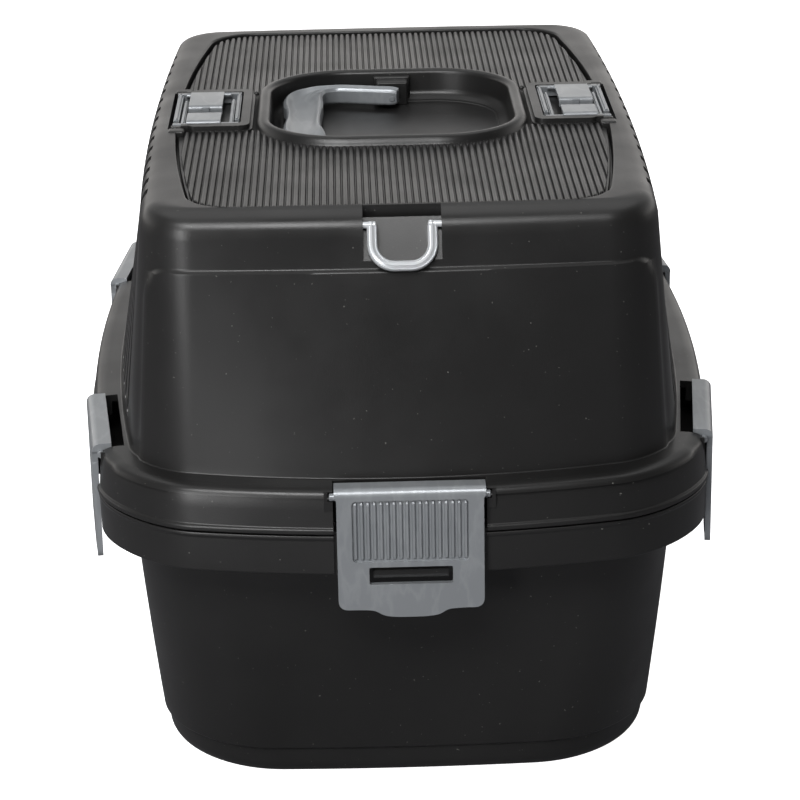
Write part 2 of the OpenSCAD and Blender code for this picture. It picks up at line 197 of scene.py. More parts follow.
def rod(start, end, radius, sides=24, soft=0.0):
    """A round pin between two points."""
    start, end = Vector(start), Vector(end)
    axis = (end - start).normalized()
    side = axis.orthogonal().normalized()
    up = axis.cross(side)
    verts = []
    length = (end - start).length
    for along, r in ((0, radius - soft), (soft, radius), (length - soft, radius), (length, radius - soft)):
        for k in range(sides):
            turn = 2 * math.pi * k / sides
            verts.append(start + axis * along + (side * math.cos(turn) + up * math.sin(turn)) * r)
    return solid("rod", verts, grid_faces(4, sides, False, True))


def stadium(cx, cy, a, b, r, n=10):
    """Rounded rectangle, counter-clockwise."""
    points = []
    for k, (sx, sy) in enumerate(((1, 1), (-1, 1), (-1, -1), (1, -1))):
        for i in range(n + 1):
            turn = math.radians(90 * k + 90 * i / n)
            points.append((cx + sx * (a - r) + r * math.cos(turn), cy + sy * (b - r) + r * math.sin(turn)))
    return points


def rounded_polygon(points, radius, n=5):
    """Rounds the corners of a 2D polygon; radius is one number or one for each corner."""
    radii = [radius] * len(points) if isinstance(radius, (int, float)) else radius
    out = []
    for i, p in enumerate(points):
        p = Vector(p)
        before = Vector(points[i - 1]) - p
        after = Vector(points[(i + 1) % len(points)]) - p
        reach = min(radii[i], before.length * 0.49, after.length * 0.49)
        if reach < 0.01:
            out.append(tuple(p))
            continue
        a, b = p + before.normalized() * reach, p + after.normalized() * reach
        for k in range(n + 1):
            t = k / n
            out.append(tuple(a * (1 - t) ** 2 + p * 2 * t * (1 - t) + b * t * t))
    return out


# ---- shell outlines: a level is [a, b, r, kx, ky, z, yc], a rounded rectangle whose sides bulge
def lerp(a, b, t):
    return a + (b - a) * t


def rim(d, z):
    return np.array([RIM_A - d, RIM_B - d, RIM_R - d, RIM_KX, RIM_KY, z, 0.0])


def tub(d, z):
    t = (z - 16) / 110
    return np.array([lerp(121.2, 125.5, t) - d, lerp(197.7, 204.5, t) - d, max(6, lerp(54.8, 33, t) - d),
                     lerp(0.039, 0.14, t), lerp(0.026, 0.095, t), z, 0.0])


def foot(a, b, r, z):
    return np.array([a, b, r, 0.039, 0.026, z, 0.0])


def shell(d, z):
    t = min(1.03, (z - Z_RIM) / (Z_HI - Z_RIM))
    ky = lerp(RIM_KY, 0.015, t)
    y0, y1 = lerp(-226.5, -210, t), lerp(226.5, 178, t)
    return np.array([lerp(126.7, 119, t) - d, (y1 - y0) / 2 / (1 + ky) - d, max(5, lerp(27.4, 24, t) - d),
                     lerp(RIM_KX, 0.05, t), ky, z, (y0 + y1) / 2])


def panel(d, z):
    return np.array([PANEL_A - d, PANEL_B - d, 20 - 0.7 * d, 0.15, 0.0, z, PANEL_Y])


def well(d, z):
    return np.array([WELL_A - d, WELL_B - d, 46 - d, 0.0, 0.0, z, WELL_Y])


SIDE_STEPS, END_STEPS, CORNER_STEPS = 48, 72, 20


def outline(level, sides=SIDE_STEPS, ends=END_STEPS, corners=CORNER_STEPS):
    """The level's points, counter-clockwise from its right-hand side."""
    a, b, r, kx, ky, z, yc = level
    points = []
    for k in range(4):
        sx, sy = ((1, 1), (-1, 1), (-1, -1), (1, -1))[k]
        steps = sides if k % 2 == 0 else ends
        for i in range(steps):
            t = i / steps
            if k == 0:
                points.append((a, lerp(-b + r, b - r, t)))
            elif k == 1:
                points.append((lerp(a - r, -a + r, t), b))
            elif k == 2:
                points.append((-a, lerp(b - r, -b + r, t)))
            else:
                points.append((lerp(-a + r, a - r, t), -b))
        for i in range(corners):
            turn = math.radians(90 * k + 90 * i / corners)
            points.append((sx * (a - r) + r * math.cos(turn), sy * (b - r) + r * math.sin(turn)))
    p = np.array(points)
    x = p[:, 0] * (1 + kx * (1 - (p[:, 1] / b) ** 2))
    y = yc + p[:, 1] * (1 + ky * (1 - (p[:, 0] / a) ** 2))
    return np.column_stack([x, y, np.full(len(p), z)])


def profile(path, closed, bends=5):
    """Levels along a section whose corners are rounded: path holds (level, corner radius)."""
    out = []
    count = len(path)
    for i, (here, radius) in enumerate(path):
        if radius <= 0 or (not closed and i in (0, count - 1)):
            out.append(here)
            continue
        before, after = path[i - 1][0] - here, path[(i + 1) % count][0] - here
        size = lambda v: math.hypot((v[0] + v[1]) / 2, v[5]) or 1.0
        p = here + before * min(radius / size(before), 0.49)
        q = here + after * min(radius / size(after), 0.49)
        for k in range(bends + 1):
            t = k / bends
            out.append(p * (1 - t) ** 2 + here * 2 * t * (1 - t) + q * t * t)
    return out


def ladder(make, z0, z1, count, d=0.0):
    """Levels at even heights, without the two ends."""
    return [(make(d, lerp(z0, z1, (i + 1) / (count + 1))), 0.0) for i in range(count)]


def loft(name, levels, closed, relief=None):
    rings = [outline(v) for v in levels]
    if relief:
        rings = [relief(ring) for ring in rings]
    n = len(rings[0])
    return solid(name, np.vstack(rings), grid_faces(len(rings), n, closed, not closed))


# ---- materials
def ramp(nodes, links, source, stops):
    node = nodes.new("ShaderNodeValToRGB")
    while len(node.color_ramp.elements) < len(stops):
        node.color_ramp.elements.new(0.5)
    for element, (at, colour) in zip(node.color_ramp.elements, stops):
        element.position = at
        element.color = (*colour, 1) if len(colour) == 3 else colour
    links.new(source, node.inputs[0])
    return node.outputs[0]


def noise(nodes, links, coords, scale, detail=3.0, stretch=None):
    node = nodes.new("ShaderNodeTexNoise")
    node.inputs["Scale"].default_value = scale
    node.inputs["Detail"].default_value = detail
    if stretch:
        mapping = nodes.new("ShaderNodeMapping")
        mapping.inputs["Scale"].default_value = stretch
        links.new(coords, mapping.inputs[0])
        coords = mapping.outputs[0]
    links.new(coords, node.inputs["Vector"])
    return node.outputs["Fac"]


def plastic(name, dark, light, rough, grain, dust, metallic=0.0, flow=None, coat=0.0):
    """Moulded plastic: slow tone drift, fine moulded grain, sparse dust and, if asked, flow marks."""
    mat = bpy.data.materials.new(name)
    mat.use_nodes = True
    nodes, links = mat.node_tree.nodes, mat.node_tree.links
    shader = nodes["Principled BSDF"]
    coords = nodes.new("ShaderNodeTexCoord").outputs["Object"]
    drift = noise(nodes, links, coords, 9, 4)
    base = ramp(nodes, links, drift, [(0.3, dark), (0.7, light)])
    if flow:
        marks = noise(nodes, links, coords, 30, 5, stretch=flow)
        streak = ramp(nodes, links, marks, [(0.44, (0, 0, 0)), (0.5, (0.3, 0.3, 0.3)), (0.56, (0, 0, 0))])
        mix = nodes.new("ShaderNodeMixRGB")
        mix.blend_type = "ADD"
        mix.inputs[0].default_value = 0.12
        links.new(base, mix.inputs[1])
        links.new(streak, mix.inputs[2])
        base = mix.outputs[0]
    specks = noise(nodes, links, coords, 620, 1)
    dots = ramp(nodes, links, specks, [(0.775, (0, 0, 0)), (0.8, (dust, dust, dust * 0.92))])
    add = nodes.new("ShaderNodeMixRGB")
    add.blend_type = "ADD"
    add.inputs[0].default_value = 1.0
    links.new(base, add.inputs[1])
    links.new(dots, add.inputs[2])
    links.new(add.outputs[0], shader.inputs["Base Color"])
    wear = noise(nodes, links, coords, 26, 6)
    tone = ramp(nodes, links, wear, [(0.35, (rough - 0.04,) * 3), (0.7, (rough + 0.06,) * 3)])
    links.new(tone, shader.inputs["Roughness"])
    fine = noise(nodes, links, coords, 1500, 2)
    bump = nodes.new("ShaderNodeBump")
    bump.inputs["Strength"].default_value = grain
    bump.inputs["Distance"].default_value = 0.0003
    links.new(fine, bump.inputs["Height"])
    links.new(bump.outputs[0], shader.inputs["Normal"])
    shader.inputs["Metallic"].default_value = metallic
    shader.inputs["IOR"].default_value = 1.5
    shader.inputs["Coat Weight"].default_value = coat
    return mat


BLACK = plastic("black_plastic", (0.0095, 0.0093, 0.0092), (0.0145, 0.0142, 0.014), 0.36, 0.12, 0.10)
GREY = plastic("grey_plastic", (0.25, 0.265, 0.28), (0.31, 0.325, 0.34), 0.34, 0.05, 0.02,
               metallic=0.45, flow=(3.0, 1.0, 1.0))
RING = plastic("bright_plastic", (0.62, 0.64, 0.66), (0.7, 0.72, 0.74), 0.3, 0.03, 0.0, metallic=0.4)
STEEL = plastic("spring_steel", (0.35, 0.35, 0.36), (0.5, 0.5, 0.52), 0.3, 0.02, 0.0, metallic=1.0)


# ---- clips' pockets in the rim
def clip_matrix(body):
    x, y, turn = CLIPS[body]
    return Matrix.Translation((x, y, 0)) @ Matrix.Rotation(math.radians(turn), 4, "Z")


def clip_pocket(body):
    """What is cut out of the rims for a clip and its pins, in both shells."""
    half = CLIP_HALF + 1.6
    upper = block(-half, half, -13.5, 20, 147.5, 180)
    lower = block(-half, half, -2.6, 21, 100, 150)
    pins = rod((-half - 2.4, PIN_V, PIN_Z), (half + 2.4, PIN_V, PIN_Z), 2.2)
    return [place(combine(upper, [lower, pins], "UNION"), clip_matrix(body))]


def clip_wall(body):
    """Closing wall behind the clip, with the catch that the clip's slot snaps over."""
    half = CLIP_HALF + 3.6
    wall = block(-half, half, -6.2, -3.2, Z_BAND, Z_PART - GAP / 2)
    hook = prism("hook", rounded_polygon([(-4, 124), (-1.6, 124), (-1.2, 126), (-1.2, 128), (-2.4, 129),
                                          (-4, 129)], 0.4), -17.5, 17.5, "x")
    return [place(o, clip_matrix(body)) for o in (wall, hook)]


def clip_cheek(body):
    """Ears of the top shell's rim that hold the clip's pins."""
    half = CLIP_HALF + 1.6
    cheeks = [block(s * (half + 2) - 2, s * (half + 2) + 2, -10.5, -1.9, 158, 167) for s in (-1, 1)]
    return [place(o, clip_matrix(body)) for o in cheeks]


def porch_block(z0, z1):
    """The rounded surround of the front door between two heights."""
    body = prism("porch", stadium(0, 125, 98, 115, 22, 14), 186, 232, "y")
    keep = block(-110, 110, 180, 240, z0, z1)
    return combine(body, [keep], "INTERSECT")


def build_base():
    path = [(foot(108, 184, 46, 0.6), 0), (foot(112, 188, 50, 0), 1), (foot(116.4, 193, 54, 1.6), 1.2),
            (foot(118.6, 195.2, 56, 5), 3), (foot(119.4, 196, 55, 14.6), 0.3), (tub(0, 16.4), 0.5)]
    path += ladder(tub, 16.4, Z_PART - 3.4, 12)
    path += [(tub(0, Z_PART - 3.4), 0.6), (rim(WALL, Z_PART - 3.4), 0.8), (rim(WALL, Z_BAND), 0.8),
             (rim(0.2, Z_BAND), 1.1), (rim(0, Z_BAND + 8), 0), (rim(0, Z_PART - 2.6), 0.5),
             (rim(-0.5, Z_PART - 1.6), 0.4), (rim(-0.4, Z_PART - GAP / 2), 0.5),
             (rim(0.9, Z_PART - GAP / 2), 0), (tub(WALL, Z_PART - GAP / 2), 0.5)]
    path += ladder(tub, Z_PART - 3.4, 22, 8, WALL)
    path += [(tub(WALL, 18), 3), (foot(114, 190, 48, 6), 3), (foot(108, 184, 44, WALL), 2),
             (foot(60, 130, 30, WALL), 0)]
    obj = loft("base", profile(path, False), False)
    porch = porch_block(10, Z_PART - GAP / 2)
    porch = combine(porch, [block(-110, 110, 150, 212, 38, 200), block(-110, 110, 150, 199, 0, 200)])
    obj = combine(obj, [porch], "UNION")
    cutters = [block(-84, 84, 150, 260, 44, 200)]
    cutters += [block(-98, -84, 232, 260, 100, 200), block(84, 98, 232, 260, 100, 200)]
    cutters += [rod((-80, 227.5, 37), (-80, 227.5, 45), 2.9), block(70.5, 77.5, 228.9, 240, 38, 45)]
    for body in CLIPS:
        cutters += clip_pocket(body)
    obj = combine(obj, cutters)
    extras = [o for body in CLIPS for o in clip_wall(body)]
    obj = merge("base", [obj] + extras)
    return piece(obj, "base_tub", BLACK, "base", ["base_shell"])


# ---- top shell
PANEL_TOP = 265.3      # top edge of the rear wall's raised lower panel
PANEL_RISE = 1.5       # how far that panel stands out
PANEL_CORNER = 15.0    # radius of its top corners


def rear_relief(ring):
    """Pushes the lower panel of the rear wall outwards, up to 60 degrees round each corner."""
    z = ring[0, 2]
    if z < Z_RIM - 4 or z > PANEL_TOP + 2:
        return ring
    nxt, prv = np.roll(ring, -1, 0), np.roll(ring, 1, 0)
    tangent = nxt - prv
    normal = np.column_stack([tangent[:, 1], -tangent[:, 0]])
    normal /= np.linalg.norm(normal, axis=1)[:, None]
    step = np.linalg.norm(nxt[:, :2] - ring[:, :2], axis=1)
    start = 2 * SIDE_STEPS + END_STEPS + 3 * CORNER_STEPS + END_STEPS // 2
    along = np.concatenate([[0], np.cumsum(np.roll(step, -start))[:-1]])
    total = step.sum()
    along = np.roll(np.minimum(along, total - along), start)
    turned = np.abs(normal[:, 0]) < 0.86
    rear = turned & (ring[:, 1] < 0)
    reach = along[rear].max()
    dx, dz = along - reach + PANEL_CORNER, z - PANEL_TOP + PANEL_CORNER
    edge = np.where((dx > 0) & (dz > 0), np.hypot(np.maximum(dx, 0), max(dz, 0)),
                    np.maximum(dx, dz)) - PANEL_CORNER
    t = np.clip(0.5 - edge / 1.6, 0, 1)
    push = PANEL_RISE * t * t * (3 - 2 * t)
    out = ring.copy()
    out[:, :2] += normal * push[:, None]
    return out


def wall_x(y, z, d=0.0):
    """Outer half width of the top shell's side wall at (y, z)."""
    a, b, _, kx, _, _, yc = shell(d, z)
    return a * (1 + kx * (1 - ((y - yc) / b) ** 2))


def flute_cutter(s, y, half, z0, z1, depth, deeper=0.0):
    """Upright groove with round ends whose floor follows the leaning side wall, deeper at the top."""
    ring = stadium(y, (z0 + z1) / 2, half, (z1 - z0) / 2, half, 8)
    lean0, lean1 = wall_x(y, 180), wall_x(y, 280)
    inner = [(s * (lerp(lean0, lean1, (z - 180) / 100) - depth - deeper * (z - z0) / (z1 - z0)), p, z)
             for p, z in ring]
    outer = [(s * 170, p, z) for p, z in ring]
    return solid("flute", inner + outer, grid_faces(2, len(ring), False, True))


def ring_matrix(body):
    """A D-ring's own frame: the origin on its pivot, +Y into the shell, -Z down along the ring."""
    y, lean, inward = RINGS[body]
    shift, turn = (REAR_SHIFT, 0) if inward > 0 else (0, math.pi)
    return (Matrix.Translation((shift, y, Z_PIVOT)) @ Matrix.Rotation(math.radians(lean), 4, "X")
            @ Matrix.Rotation(turn, 4, "Z"))


def ring_room(body):
    """What is cut away for a D-ring: the leaning recess, its pin holes and the mouth over it."""
    y, _, inward = RINGS[body]
    rear = inward > 0
    half, top = (18.0, 4.6) if rear else (18.7, 3.3)
    slope = prism("slope", [(-half, -30), (half, -30), (half, top), (-half, top)], -30, 2.6, "y")
    slope = combine(slope, [rod((-20.8, 0, 0), (20.8, 0, 0), 2)], "UNION")
    place(slope, ring_matrix(body))
    if not rear:
        return [slope, block(-half, half, y - 1.4, y + 30, Z_PIVOT + 2.4, 330)]
    mouth = combine(block(-half, half, y - 30, y + 9.0, Z_PIVOT + 2.4, 330),
                    [block(-half, half, y + 5.0, y + 9.0, Z_PIVOT + 0.2, 300)], "UNION")
    return [slope, place(mouth, Matrix.Translation((REAR_SHIFT, 0, 0)))]


def ring_frame(body):
    """Backing behind the recess and the ears that hold the ring's pins."""
    rear = RINGS[body][2] > 0
    parts = [block(-21.5, 21.5, 2.1, 5.4, -12 if rear else -24, 4.4)]
    parts += [block(x, x + 3.3, 0.6, 4.4, -8 if rear else -14, 3.2) for x in (-21.5, 18.2)]
    return [place(o, ring_matrix(body)) for o in parts]


def rear_in(level, by):
    """The same level with only its rear end moved inwards."""
    out = np.array(level, float)
    out[1] -= by / 2
    out[6] += by / 2
    return out


def build_top():
    foot_of_wall = [126.7, 206.3, 27.4, RIM_KX, RIM_KY]
    skirt_in = np.array([126.7 - WALL, 206.3 - WALL, 27.4 - WALL, RIM_KX, RIM_KY, Z_PART + GAP / 2, 0])
    low = Z_PART + GAP / 2
    path = [(rim(0.6, low), 0.4), (rim(-0.9, low + 0.7), 0.5), (rim(-0.9, Z_PART + 3), 0.6),
            (rim(0.2, Z_PART + 3.8), 0.4), (rim(0.5, Z_PART + 8), 0), (rim(1, Z_PART + 15), 3),
            (rim(2.2, Z_RIM - 1), 2.6), (rim(6, Z_RIM + 0.4), 1.5), (shell(0, Z_RIM + 0.7), 0.7)]
    path += ladder(shell, Z_RIM + 0.7, 262, 24)
    path += ladder(shell, 262, 271, 16)
    path += ladder(shell, 271, Z_HI - 2, 6)
    path += [(shell(0, Z_HI - 1.5), 0), (shell(0.7, Z_HI + 3), 2.2),
             (rear_in(shell(2.4, Z_HI + 6.1), 1), 1.6),
             (rear_in(shell(5.6, Z_HI + 8.2), 2.6), 2), (rear_in(shell(10, Z_ROOF), 2.3), 2),
             (panel(-1, Z_ROOF), 0.9),
             (panel(-0.8, 285.6), 0.4), (panel(5, 285.6), 0.4), (panel(6.5, 283), 1),
             (shell(5.5, Z_HI - 2), 2), (shell(WALL, 272), 2)]
    path += ladder(shell, 272, Z_RIM, 16, WALL)
    path += [(shell(WALL, Z_RIM), 1), (skirt_in, 0.4),
             (np.array(foot_of_wall + [low, 0]), 0.4), (np.array(foot_of_wall + [Z_RIM - 3, 0]), 1),
             (rim(WALL + 2, Z_RIM - 3), 1), (rim(WALL, Z_PART + 12), 1), (rim(WALL, low), 0.4)]
    obj = loft("top", profile(path, True), True, rear_relief)
    obj = combine(obj, [block(-98, 98, 205, 260, 140, 200)])
    porch = porch_block(low, 250)
    porch = combine(porch, [block(-110, 110, 150, 213, 140, 224), block(-110, 110, 150, 194, 140, 260)])
    added = [porch] + [o for body in RINGS for o in ring_frame(body)]
    for body in CLIPS:
        added += clip_cheek(body)
    for s in (-1, 1):
        for y0, y1 in ((-44, -37), (37, 44)):
            x0, x1 = sorted((s * (BOLT_X - 5.2), s * (BOLT_X + 3.2)))
            added.append(block(x0, x1, LATCH_Y + y0, LATCH_Y + y1, 284, BOLT_Z + 2.1, 1.2, 3))
    obj = combine(obj, added, "UNION")
    flutes = [flute_cutter(s, y, *FLUTE) for s in (-1, 1) for y in VENTS]
    slots = [flute_cutter(s, y, *SLOT) for s in (-1, 1) for y in VENTS]
    obj = combine(obj, [merge("flutes", flutes)])
    cutters = [merge("slots", slots), block(-84, 84, 150, 260, 140, 224)]
    cutters += [o for body in RINGS for o in ring_room(body)]
    for body in CLIPS:
        cutters += clip_pocket(body)
    for s in (-1, 1):
        x0, x1 = sorted((s * (BOLT_X - 12), s * (BOLT_X + 3.6)))
        cutters.append(block(x0, x1, LATCH_Y - 37, LATCH_Y + 37, 280, 310))
        cutters.append(rod((s * BOLT_X, LATCH_Y - 41, BOLT_Z), (s * BOLT_X, LATCH_Y + 41, BOLT_Z), 1.9))
    cutters += [rod((-80, 227.5, 223), (-80, 227.5, 231), 2.9), block(70.5, 77.5, 228.9, 240, 223, 230)]
    obj = combine(obj, cutters)
    return piece(obj, "top_cover", BLACK, "top_shell", ["top_shell"])


# ---- roof door
COLLAR_X, COLLAR_HALF = 72.6, 38.2


def panel_span(x):
    """Y range of the ribbed panel at x."""
    ring = outline(panel(1.2, 0))
    y = ring[:, 1]
    side = []
    for sign in (-1, 1):
        part = ring[(y - PANEL_Y) * sign > 0]
        part = part[np.argsort(part[:, 0])]
        inside = part[np.abs(part[:, 0] - x) < 6]
        side.append(np.interp(x, part[:, 0], part[:, 1]) if len(inside) else PANEL_Y)
    return side[0], side[1]


def well_span(x, grow=0.6):
    a, b, r = WELL_A + grow, WELL_B + grow, 46 + grow
    if abs(x) >= a:
        return None
    over = max(0, abs(x) - (a - r))
    half = b - r + math.sqrt(r * r - over * over)
    return WELL_Y - half, WELL_Y + half


def rib(x, low, high):
    """One crowned rib whose ends follow the curves low(x) and high(x)."""
    section = [(-1.45, 0), (-1.38, 0.75), (-1.1, 1.4), (-0.62, 1.85), (0, 2.0), (0.62, 1.85),
               (1.1, 1.4), (1.38, 0.75), (1.45, 0)]
    ends = ((0, 0.5, 0.35), (0.35, 0.82, 0.75), (0.9, 0.96, 0.95), (1.6, 1, 1))
    verts = []
    for d, w, h in ends:
        verts += [(x + px * w, low(x + px * w) + d, 289.3 + pz * h) for px, pz in section]
    for d, w, h in reversed(ends):
        verts += [(x + px * w, high(x + px * w) - d, 289.3 + pz * h) for px, pz in section]
    return verts, grid_faces(2 * len(ends), len(section), False, True)


def build_ribs():
    verts, faces = [], []
    panel_low, panel_high = (lambda x: panel_span(x)[0]), (lambda x: panel_span(x)[1])
    well_low = lambda x: (well_span(x) or (WELL_Y, WELL_Y))[0]
    well_high = lambda x: (well_span(x) or (WELL_Y, WELL_Y))[1]
    collar_low = lambda x: LATCH_Y - COLLAR_HALF - 0.8
    collar_high = lambda x: LATCH_Y + COLLAR_HALF + 0.8
    for i in range(RIBS):
        x = (i - (RIBS - 1) / 2) * RIB_PITCH
        spans = [(panel_low, panel_high)]
        if well_span(x):
            spans = [(panel_low, well_low), (well_high, panel_high)]
        if abs(x) > COLLAR_X - 2.4:
            spans = [(panel_low, collar_low), (collar_high, panel_high)]
        for low, high in spans:
            if high(x) - low(x) < 6:
                continue
            v, f = rib(x, low, high)
            faces += [tuple(k + len(verts) for k in face) for face in f]
            verts += v
    return solid("ribs", verts, faces)


def build_collar():
    x1, half = BOLT_X + 2.0, COLLAR_HALF
    near = BOLT_X - 6.6
    shape = rounded_polygon(
        [(x1, -36), (x1, -32.6), (77.2, -32.6), (77.2, 32.6), (x1, 32.6), (x1, 36),
         (near, 36), (near - 2, half), (COLLAR_X, half), (COLLAR_X, -half), (near - 2, -half), (near, -36)],
        [0.2, 0.2, 2.4, 2.4, 0.2, 0.2, 0.8, 1.5, 6, 6, 1.5, 0.8], 6)
    base = prism("collar", shape, 288, Z_COLLAR)
    low_end = block(BOLT_X - 3, x1 + 5, -45, 45, BOLT_Z + 2.1, 300)
    base = combine(base, [low_end, rod((BOLT_X, -40, BOLT_Z), (BOLT_X, 40, BOLT_Z), 1.7)])
    step = rounded_polygon([(near, -37.2), (near - 3, -half - 1.3), (COLLAR_X - 1.4, -half - 1.3),
                            (COLLAR_X - 1.4, half + 1.3), (near - 3, half + 1.3), (near, 37.2)],
                           [0.3, 1.5, 6.6, 6.6, 1.5, 0.3], 6)
    plinth = combine(prism("plinth", step, 288, 291.0), [block(77.2, x1 + 5, -32.6, 32.6, 280, 300)])
    parts = [round_edges(base, 0.8, 3), round_edges(plinth, 0.45, 2)]
    return [place(o, Matrix.Translation((0, LATCH_Y, 0))) for o in parts]


def build_door():
    path = [(panel(6, 286.6), 0), (panel(0.2, 286.6), 0.4), (panel(0.2, 289.5), 0.6),
            (panel(3, 289.5), 0), (well(-2.4, 289.5), 0.8), (well(-0.6, 290.6), 1.2),
            (well(0.2, Z_LIP - 2.4), 1), (well(1.7, Z_LIP - 0.2), 1.2), (well(4.6, Z_LIP), 1.4),
            (well(6.4, Z_LIP - 1.4), 1.2), (well(7.2, Z_WELL + 3), 2), (well(11, Z_WELL), 2),
            (well(12.4, Z_WELL), 0.3), (well(13, Z_WELL - 0.5), 0.3), (well(40, Z_WELL - 0.5), 0)]
    top = profile(path, False)
    under = profile([(well(40, Z_WELL - 2.9), 0), (well(9, Z_WELL - 2.9), 2), (well(4.6, Z_WELL), 2),
                     (well(4.2, 286.6), 1), (panel(12, 286.6), 0)], False)
    obj = loft("door", top + under, True)
    ends = well(40, Z_WELL)
    floor = outline(ends, 12, 12, 6)
    slab = solid("floor", np.vstack([floor + (0, 0, -0.5), floor + (0, 0, -2.9)]),
                 grid_faces(2, len(floor), False, True))
    room = []
    for s in (-1, 1):
        x0, x1 = sorted((s * 77.4, s * (BOLT_X + 2)))
        room.append(block(x0, x1, LATCH_Y - 32.6, LATCH_Y + 32.6, 287.4, 300))
        x0, x1 = sorted((s * (BOLT_X + 0.2), s * 130))
        room.append(block(x0, x1, LATCH_Y - 45, LATCH_Y + 45, 280, 289.2))
        x0, x1 = sorted((s * (BOLT_X - 5.9), s * 130))
        room += [block(x0, x1, LATCH_Y + y, LATCH_Y + y + 7.8, 280, 300) for y in (-44.4, 36.6)]
    obj = combine(obj, room)
    collars = []
    for s in (1, -1):
        for part in build_collar():
            collars.append(part if s > 0 else mirrored(part))
    far = round_edges(combine(block(-6.8, 10.2, 54.2, 67.2, -1, 11.9),
                              [rod((1.5, 50, 5.7), (1.5, 62, 5.7), 1.9)]), 1.1, 4, 60)
    near = round_edges(combine(block(-6.8, 10.2, -67.4, -61.6, -1, 9.9),
                               [rod((1.5, -65.4, 5.7), (1.5, -60, 5.7), 1.9)]), 0.7, 3, 60)
    frame_top = round_edges(block(-8.2, 11.6, 62.8, 68, -1, 12.9), 1.0, 3)
    for part in (far, near, frame_top):
        place(part, Matrix.Translation((0, WELL_Y, Z_WELL)))
    obj = merge("door", [obj, slab, build_ribs(), far, near, frame_top] + collars)
    return piece(obj, "roof_lid", BLACK, "roof_door", ["roof_door"])


# ---- carry handle
def smooth_path(points, count):
    """Points at even steps along a Catmull-Rom curve through the given rows."""
    p = np.array(points, float)
    p = np.vstack([2 * p[0] - p[1], p, 2 * p[-1] - p[-2]])
    dense = []
    for i in range(1, len(p) - 2):
        for k in range(40):
            t = k / 40
            dense.append(0.5 * (2 * p[i] + (p[i + 1] - p[i - 1]) * t
                                + (2 * p[i - 1] - 5 * p[i] + 4 * p[i + 1] - p[i + 2]) * t ** 2
                                + (3 * p[i] - p[i - 1] - 3 * p[i + 1] + p[i + 2]) * t ** 3))
    dense = np.array(dense + [p[-2]])
    run = np.concatenate([[0], np.cumsum(np.linalg.norm(np.diff(dense[:, :2], axis=0), axis=1))])
    at = np.linspace(0, run[-1], count)
    return np.column_stack([np.interp(at, run, dense[:, k]) for k in range(dense.shape[1])])


HANDLE = [  # x, y, width, how much of a blade it is (0 arm, 1 blade)
    (4.6, 46.2, 8.6, 0), (-6, 48.6, 8.6, 0), (-18, 51.6, 8.8, 0), (-28, 53.4, 9, 0.05),
    (-37, 51.6, 12, 0.35), (-43, 44.5, 17, 0.75), (-45.6, 35, 20, 1), (-45.8, 22, 21, 1),
    (-45.4, 8, 19, 1), (-45.6, -8, 18, 1), (-46, -22, 19.4, 1), (-45, -33, 20.6, 1),
    (-41.5, -44, 18, 0.7), (-34, -52.6, 12, 0.3), (-24, -56.6, 8, 0.05), (-14, -57.2, 7, 0),
    (-4, -57.2, 6.8, 0), (4.6, -57.2, 6.8, 0)]


def build_handle():
    stations = smooth_path(HANDLE, 110)
    low, high = 1.9, 11.3
    across = np.linspace(-1, 1, 27)
    verts = []
    for i, (x, y, width, blade) in enumerate(stations):
        a, b = stations[max(i - 1, 0)], stations[min(i + 1, len(stations) - 1)]
        tangent = np.array([b[0] - a[0], b[1] - a[1]])
        side = np.array([-tangent[1], tangent[0]]) / np.linalg.norm(tangent)
        end = min(i, len(stations) - 1 - i)
        trim = (0.7, 0.25, 0)[min(end, 2)]
        w = width / 2 - trim
        ridge = 0.5 * (1 - blade) * (np.cos(across * math.pi * 3.0) - 1) * (np.abs(across) < 0.97)
        scoop = blade * 4.2 * np.clip(1 - (across / 0.8) ** 2, 0, 1) ** 0.75
        edge = 1.9 * np.clip((np.abs(across) - 0.72) / 0.28, 0, 1) ** 2.2
        drop = 2.2 * min(1, max(0, (-32 - y) / 20))
        top = high - 0.5 - trim - scoop - edge + ridge - drop
        bottom = low + trim + 1.8 * np.clip((np.abs(across) - 0.7) / 0.3, 0, 1) ** 2.2
        for c, z in zip(across, top):
            verts.append((x + side[0] * w * c, y + side[1] * w * c, z))
        for c, z in zip(across[::-1], bottom[::-1]):
            verts.append((x + side[0] * w * c, y + side[1] * w * c, z))
    obj = solid("handle", verts, grid_faces(len(stations), 2 * len(across), False, True))
    pins = [rod((1.5, 42, 5.7), (1.5, 61, 5.7), 1.5, 20, 0.3),
            rod((1.5, -64.5, 5.7), (1.5, -54, 5.7), 1.5, 20, 0.3)]
    obj = place(merge("handle", [obj] + pins), Matrix.Translation((0, WELL_Y, Z_WELL)))
    return piece(obj, "grip_handle", GREY, "carry_handle", ["carry_handle"])


